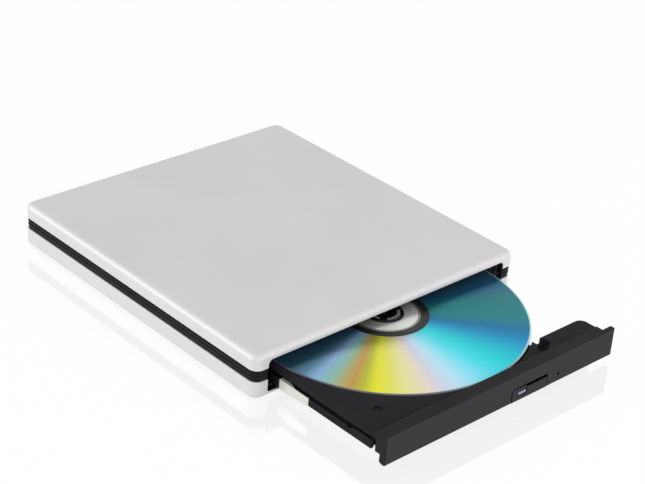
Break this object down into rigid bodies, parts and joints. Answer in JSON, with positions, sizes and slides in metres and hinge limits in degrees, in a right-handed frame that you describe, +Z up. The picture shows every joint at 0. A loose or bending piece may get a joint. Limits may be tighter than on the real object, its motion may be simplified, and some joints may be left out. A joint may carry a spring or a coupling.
{
  "type": "external disc drive",
  "caption": "Flat portable disc drive: rounded two-part case with a dark ribbed band and a tray on telescopic rails that carries hub, disc, laser pickup and eject button.",
  "frame": {"origin": "centre of the bounding box on the plane the feet stand on, with the tray 62.9 mm out", "axes": "+Y to the back (the tray slides out along -Y), +Z up, +X to the right seen from the front"},
  "size_m": [0.145, 0.2178, 0.0198],
  "materials": {
    "silver_white": "satin, pearly silver-white lacquer",
    "band_black": "moulded black plastic",
    "rubber_grey": "soft matt rubber",
    "screw_steel": "zinc-plated",
    "sheet_steel": "galvanised sheet",
    "guide_plastic": "slippery black plastic",
    "rail_steel": "bright rolled steel",
    "tray_black": "fine-grained black plastic",
    "bezel_black": "fine-grained black plastic",
    "spring_steel": "bright spring wire",
    "light_pipe": "clear smoky acrylic",
    "board_green": "solder-resist lacquer",
    "part_black": "moulded black plastic",
    "lamp_green": "clear tinted resin",
    "lever_white": "natural white plastic",
    "coil_copper": "wound enamelled wire",
    "cover_grey": "black painted sheet",
    "rubber_black": "soft matt rubber",
    "rod_chrome": "ground and polished",
    "motor_steel": "bright plated",
    "hub_black": "smooth black plastic",
    "disc_rainbow": "polished, rainbow-coloured grooves",
    "pickup_metal": "die-cast",
    "lens_glass": "clear, coated",
    "ribbon_white": "smooth film"
  },
  "bodies": {
    "case": {"top_cover": "silver_white", "mid_frame": "band_black", "lower_cover": "silver_white", "rubber_feet": "rubber_grey", "case_screws": "screw_steel", "drive_pan": "sheet_steel", "drive_lid": "sheet_steel", "latch_post": "sheet_steel", "rail_guide_left": "guide_plastic", "rail_guide_right": "guide_plastic", "drive_board": "board_green", "drive_chips": "part_black", "drive_plug": "part_black", "ribbon_socket": "lever_white", "ribbon_cable": "ribbon_white", "board_screws": "screw_steel", "bridge_board": "board_green", "bridge_plug": "part_black", "bridge_chips": "part_black", "bridge_capacitors": "motor_steel", "usb_socket": "rail_steel"},
    "tray": {"tray": "tray_black", "tray_runner_left": "tray_black", "tray_runner_right": "tray_black", "tray_bottom_cover": "sheet_steel", "tray_screws": "screw_steel", "bezel": "bezel_black", "light_pipe": "light_pipe", "switch_board": "board_green", "eject_switch": "part_black", "busy_lamp": "lamp_green", "tray_board": "board_green", "latch_lever": "lever_white", "solenoid": "coil_copper", "traverse_frame": "sheet_steel", "traverse_cover": "cover_grey", "damper_bushes": "rubber_black", "damper_screws": "screw_steel", "guide_rods": "rod_chrome", "rod_holders": "part_black", "sled_motor": "motor_steel", "spindle_motor": "motor_steel"},
    "slide_left": {"slide_rail_left": "rail_steel"},
    "slide_right": {"slide_rail_right": "rail_steel"},
    "spindle": {"rotor": "motor_steel", "grip_ring": "rubber_black", "hub": "hub_black", "hub_catches": "hub_black", "disc": "disc_rainbow"},
    "pickup": {"pickup_body": "pickup_metal", "pickup_plate": "sheet_steel", "focus_magnets": "part_black"},
    "lens": {"lens_holder": "part_black", "lens": "lens_glass"},
    "screw": {"lead_screw": "rod_chrome"},
    "button": {"eject_button": "bezel_black", "button_spring": "spring_steel"}
  },
  "joints": [
    {"name": "tray_slide", "type": "slide", "parent": "case", "child": "tray", "axis": [0, -1, 0], "range_m": [-0.0629, 0.068], "deforming": ["ribbon_cable"]},
    {"name": "slide_left_run", "type": "slide", "parent": "case", "child": "slide_left", "axis": [0, -1, 0], "range_m": [-0.03145, 0.034]},
    {"name": "slide_right_run", "type": "slide", "parent": "case", "child": "slide_right", "axis": [0, -1, 0], "range_m": [-0.03145, 0.034]},
    {"name": "spindle_turn", "type": "hinge", "parent": "tray", "child": "spindle", "pos_m": [0, -0.04105, 0.008], "axis": [0, 0, 1], "continuous": true},
    {"name": "pickup_travel", "type": "slide", "parent": "tray", "child": "pickup", "axis": [-0.6947, -0.7193, 0], "range_m": [-0.0065, 0.0265]},
    {"name": "lens_focus", "type": "slide", "parent": "pickup", "child": "lens", "axis": [0, 0, 1], "range_m": [-0.0004, 0.0004], "stiffness_N_per_m": 20},
    {"name": "lead_screw_turn", "type": "hinge", "parent": "tray", "child": "screw", "pos_m": [-0.00818, -0.07486, 0.0068], "axis": [-0.6947, -0.7193, 0], "continuous": true},
    {"name": "eject_press", "type": "slide", "parent": "tray", "child": "button", "axis": [0, 1, 0], "range_m": [0, 0.0008], "stiffness_N_per_m": 300, "springref_m": -0.001, "deforming": ["button_spring"]}
  ],
  "couplings": [
    {"joint": "slide_left_run", "follows": "tray_slide", "ratio": 0.5},
    {"joint": "slide_right_run", "follows": "tray_slide", "ratio": 0.5},
    {"joint": "lead_screw_turn", "follows": "pickup_travel", "rad_per_m": 2094.4}
  ]
}
